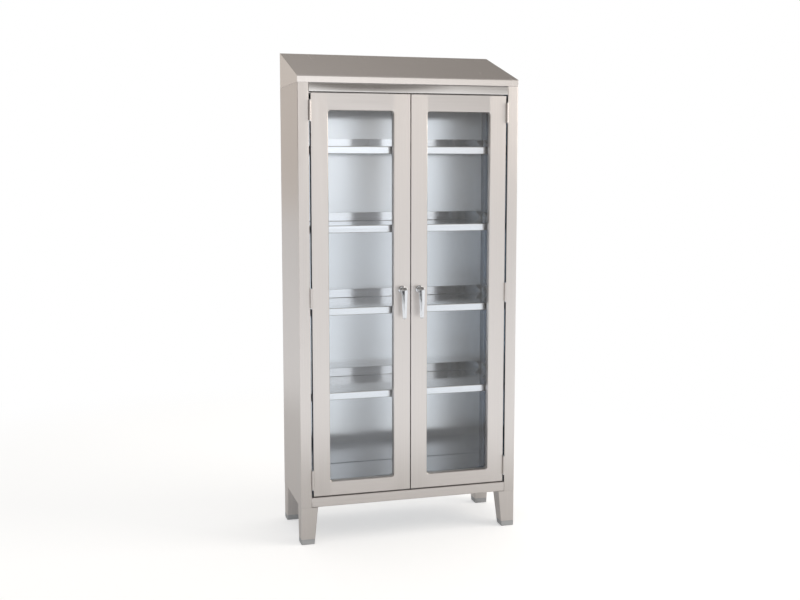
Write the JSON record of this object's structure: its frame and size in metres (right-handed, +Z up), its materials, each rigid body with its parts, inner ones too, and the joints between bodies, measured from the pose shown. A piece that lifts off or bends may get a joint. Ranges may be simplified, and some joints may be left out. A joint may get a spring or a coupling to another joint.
{
  "type": "glass door medical cabinet",
  "caption": "Free-standing stainless cabinet with a sloped hood, tapered legs, shelves, and a pair of hinged glass doors with turning lever latches.",
  "frame": {"origin": "on the floor at the centre of the outline, levers included", "axes": "+X to the right as seen from the front, +Y from the front to the back, +Z up"},
  "size_m": [0.914, 0.424, 1.9846],
  "materials": {
    "brushed_stainless": "stainless sheet with a fine one-way brushed grain",
    "polished_stainless": "bright-annealed stainless sheet with a soft mirror",
    "chrome": "bright chrome plate on a die casting",
    "zinc_plate": "zinc plate on mild steel",
    "grey_rubber": "moulded grey rubber",
    "glazing_rubber": "extruded pale grey glazing rubber",
    "clear_glass": "clear toughened float glass",
    "magnet_case": "moulded plastic round a magnet"
  },
  "bodies": {
    "cabinet": {"left_side_panel": "brushed_stainless", "right_side_panel": "brushed_stainless", "back_panel": "polished_stainless", "sloped_hood": "brushed_stainless", "header_rail": "brushed_stainless", "bottom_rail": "brushed_stainless", "bottom_deck": "polished_stainless", "magnetic_catch": "magnet_case", "front_left_leg": "brushed_stainless", "front_left_leg_tip": "grey_rubber", "front_left_shelf_standard": "zinc_plate", "front_right_leg": "brushed_stainless", "front_right_leg_tip": "grey_rubber", "front_right_shelf_standard": "zinc_plate", "rear_left_leg": "brushed_stainless", "rear_left_leg_tip": "grey_rubber", "rear_left_shelf_standard": "zinc_plate", "rear_right_leg": "brushed_stainless", "rear_right_leg_tip": "grey_rubber", "rear_right_shelf_standard": "zinc_plate", "shelf_1": "polished_stainless", "shelf_2": "polished_stainless", "shelf_3": "polished_stainless", "shelf_4": "polished_stainless", "left_bottom_hinge_frame_leaf": "brushed_stainless", "left_bottom_hinge_pin": "polished_stainless", "left_middle_hinge_frame_leaf": "brushed_stainless", "left_middle_hinge_pin": "polished_stainless", "left_top_hinge_frame_leaf": "brushed_stainless", "left_top_hinge_pin": "polished_stainless", "right_bottom_hinge_frame_leaf": "brushed_stainless", "right_bottom_hinge_pin": "polished_stainless", "right_middle_hinge_frame_leaf": "brushed_stainless", "right_middle_hinge_pin": "polished_stainless", "right_top_hinge_frame_leaf": "brushed_stainless", "right_top_hinge_pin": "polished_stainless"},
    "left_door": {"left_door_frame": "brushed_stainless", "left_door_liner": "brushed_stainless", "left_door_gasket": "glazing_rubber", "left_door_glass": "clear_glass", "left_handle_rose": "chrome", "left_bottom_hinge_door_leaf": "brushed_stainless", "left_middle_hinge_door_leaf": "brushed_stainless", "left_top_hinge_door_leaf": "brushed_stainless"},
    "left_handle": {"left_handle_lever": "chrome", "left_latch_cam": "zinc_plate"},
    "left_upper_rod": {"left_upper_latch_rod": "zinc_plate"},
    "left_lower_rod": {"left_lower_latch_rod": "zinc_plate"},
    "right_door": {"right_door_frame": "brushed_stainless", "right_door_liner": "brushed_stainless", "right_door_gasket": "glazing_rubber", "right_door_glass": "clear_glass", "right_handle_rose": "chrome", "right_bottom_hinge_door_leaf": "brushed_stainless", "right_middle_hinge_door_leaf": "brushed_stainless", "right_top_hinge_door_leaf": "brushed_stainless"},
    "right_handle": {"right_handle_lever": "chrome", "right_latch_cam": "zinc_plate"},
    "right_upper_rod": {"right_upper_latch_rod": "zinc_plate"},
    "right_lower_rod": {"right_lower_latch_rod": "zinc_plate"}
  },
  "joints": [
    {"name": "left_door_swing", "type": "hinge", "parent": "cabinet", "child": "left_door", "pos_m": [-0.40825, -0.1743, 0.99925], "axis": [0, 0, -1], "range_deg": [0, 175]},
    {"name": "left_handle_turn", "type": "hinge", "parent": "left_door", "child": "left_handle", "pos_m": [-0.03625, -0.189, 1.023], "axis": [0, 1, 0], "range_deg": [0, 90]},
    {"name": "left_upper_rod_slide", "type": "slide", "parent": "left_door", "child": "left_upper_rod", "axis": [0, 0, 1], "range_m": [0, 0.0142]},
    {"name": "left_lower_rod_slide", "type": "slide", "parent": "left_door", "child": "left_lower_rod", "axis": [0, 0, -1], "range_m": [0, 0.0142]},
    {"name": "right_door_swing", "type": "hinge", "parent": "cabinet", "child": "right_door", "pos_m": [0.40825, -0.1743, 0.99925], "axis": [0, 0, 1], "range_deg": [0, 175]},
    {"name": "right_handle_turn", "type": "hinge", "parent": "right_door", "child": "right_handle", "pos_m": [0.03625, -0.189, 1.023], "axis": [0, -1, 0], "range_deg": [0, 90]},
    {"name": "right_upper_rod_slide", "type": "slide", "parent": "right_door", "child": "right_upper_rod", "axis": [0, 0, 1], "range_m": [0, 0.0142]},
    {"name": "right_lower_rod_slide", "type": "slide", "parent": "right_door", "child": "right_lower_rod", "axis": [0, 0, -1], "range_m": [0, 0.0142]}
  ],
  "couplings": [
    {"joint": "left_upper_rod_slide", "follows": "left_handle_turn", "m_per_rad": 0.009},
    {"joint": "left_lower_rod_slide", "follows": "left_handle_turn", "m_per_rad": 0.009},
    {"joint": "right_upper_rod_slide", "follows": "right_handle_turn", "m_per_rad": 0.009},
    {"joint": "right_lower_rod_slide", "follows": "right_handle_turn", "m_per_rad": 0.009}
  ]
}
